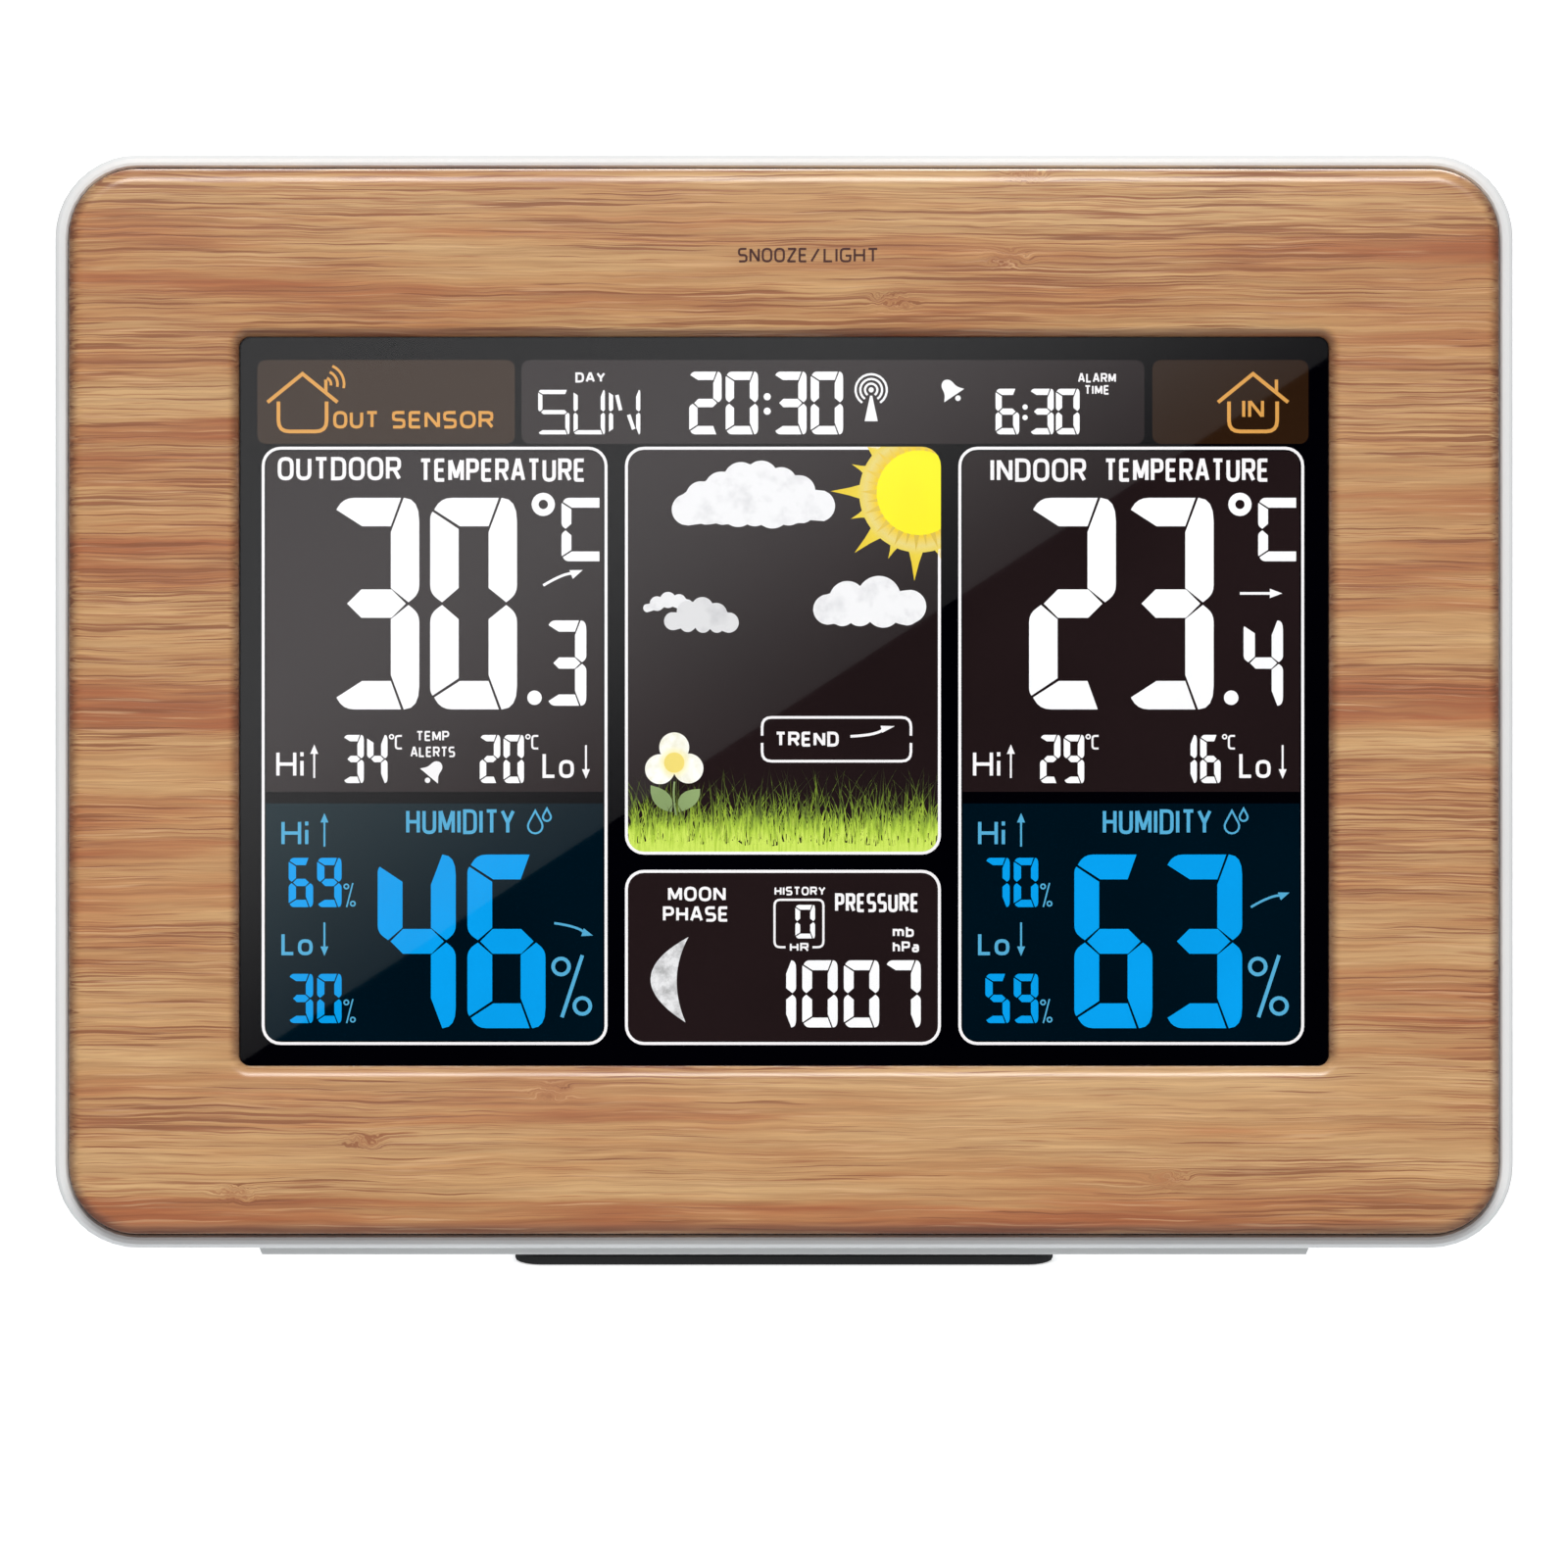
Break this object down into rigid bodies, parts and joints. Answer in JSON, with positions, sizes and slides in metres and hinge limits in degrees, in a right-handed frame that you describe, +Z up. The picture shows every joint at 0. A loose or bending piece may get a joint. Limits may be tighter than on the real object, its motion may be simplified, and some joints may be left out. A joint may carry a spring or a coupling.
{
  "type": "home weather station",
  "caption": "Desk weather station: colour display behind a bamboo frame in a white case, with keys, battery bay and fold-out stand on the back.",
  "frame": {"origin": "centre of the base foot's underside, on the desk", "axes": "+X to the viewer's right along the display, +Y away from the viewer to the back, +Z up from the desk; the display leans back 12 degrees from upright"},
  "size_m": [0.2, 0.0492, 0.1494],
  "materials": {
    "bamboo": "satin varnished bamboo, fine grain along X",
    "white_abs": "satin moulded ABS",
    "lens": "glossy tinted acrylic",
    "lcd_glass": "dark negative LCD glass",
    "black_abs": "satin moulded ABS",
    "light_guide": "clear acrylic",
    "white_film": "matt reflector film",
    "board": "solder-masked laminate",
    "elastomer": "matt silicone",
    "chip": "moulded epoxy",
    "steel": "bright zinc plate",
    "ferrite": "matt sintered ferrite",
    "copper": "enamelled copper",
    "cell_wrap": "plain wrapped cell",
    "rubber": "matt black rubber",
    "grey_key": "fine matt moulded plastic",
    "label": "blank silver-grey film label",
    "red_pvc": "PVC insulation",
    "black_pvc": "PVC insulation",
    "display_dark": "unlit display area",
    "display_white": "lit white segment",
    "display_blue": "lit blue segment",
    "display_orange": "lit orange segment",
    "display_yellow": "lit yellow segment",
    "display_green": "lit green segment",
    "dark_ink": "dark red-brown print"
  },
  "bodies": {
    "case": {"antenna_coil": "copper", "base_foot": "rubber", "battery_cell_1": "cell_wrap", "battery_cell_2": "cell_wrap", "battery_cell_3": "cell_wrap", "battery_plate_1": "steel", "battery_plate_2": "steel", "battery_plate_3": "steel", "battery_spring_1": "steel", "battery_spring_2": "steel", "battery_spring_3": "steel", "battery_wire_black": "black_pvc", "battery_wire_red": "red_pvc", "board_screw_1": "steel", "board_screw_2": "steel", "board_screw_3": "steel", "board_screw_4": "steel", "buzzer": "black_abs", "case_screw_1": "steel", "case_screw_2": "steel", "case_screw_3": "steel", "case_screw_4": "steel", "climate_sensor": "white_abs", "crystal_can": "steel", "driver_chip": "chip", "ferrite_rod": "ferrite", "front_frame": "bamboo", "hinge_pin_left": "steel", "hinge_pin_right": "steel", "lcd_carrier": "black_abs", "lcd_panel": "lcd_glass", "led_strip": "board", "light_guide": "light_guide", "main_board": "board", "power_jack": "black_abs", "pressure_sensor": "steel", "radio_antenna": "copper", "radio_module": "board", "rating_label": "label", "rear_case": "white_abs", "reflector_sheet": "white_film", "switch_alert": "chip", "switch_channel": "chip", "switch_down": "chip", "switch_memory": "chip", "switch_mode": "chip", "switch_up": "chip", "touch_plate": "copper", "window_lens": "lens", "zebra_strip": "elastomer"},
    "stand": {"stand": "white_abs", "stand_foot": "rubber"},
    "battery_door": {"battery_door": "white_abs"},
    "key_memory": {"key_memory": "grey_key"},
    "key_channel": {"key_channel": "grey_key"},
    "key_alert": {"key_alert": "grey_key"},
    "key_down": {"key_down": "grey_key"},
    "key_up": {"key_up": "grey_key"},
    "key_mode": {"key_mode": "grey_key"}
  },
  "joints": [
    {"name": "stand_hinge", "type": "hinge", "parent": "case", "child": "stand", "pos_m": [0, 0.02557, 0.06356], "axis": [1, 0, 0], "range_deg": [-22, 0]},
    {"name": "battery_door_slide", "type": "slide", "parent": "case", "child": "battery_door", "axis": [0, 0.9781, -0.2079], "range_m": [0, 0.015]},
    {"name": "key_memory_press", "type": "slide", "parent": "case", "child": "key_memory", "axis": [0, -0.9781, 0.2079], "range_m": [0, 0.0004], "stiffness_N_per_m": 1500},
    {"name": "key_channel_press", "type": "slide", "parent": "case", "child": "key_channel", "axis": [0, -0.9781, 0.2079], "range_m": [0, 0.0004], "stiffness_N_per_m": 1500},
    {"name": "key_alert_press", "type": "slide", "parent": "case", "child": "key_alert", "axis": [0, -0.9781, 0.2079], "range_m": [0, 0.0004], "stiffness_N_per_m": 1500},
    {"name": "key_down_press", "type": "slide", "parent": "case", "child": "key_down", "axis": [0, -0.9781, 0.2079], "range_m": [0, 0.0004], "stiffness_N_per_m": 1500},
    {"name": "key_up_press", "type": "slide", "parent": "case", "child": "key_up", "axis": [0, -0.9781, 0.2079], "range_m": [0, 0.0004], "stiffness_N_per_m": 1500},
    {"name": "key_mode_press", "type": "slide", "parent": "case", "child": "key_mode", "axis": [0, -0.9781, 0.2079], "range_m": [0, 0.0004], "stiffness_N_per_m": 1500}
  ]
}
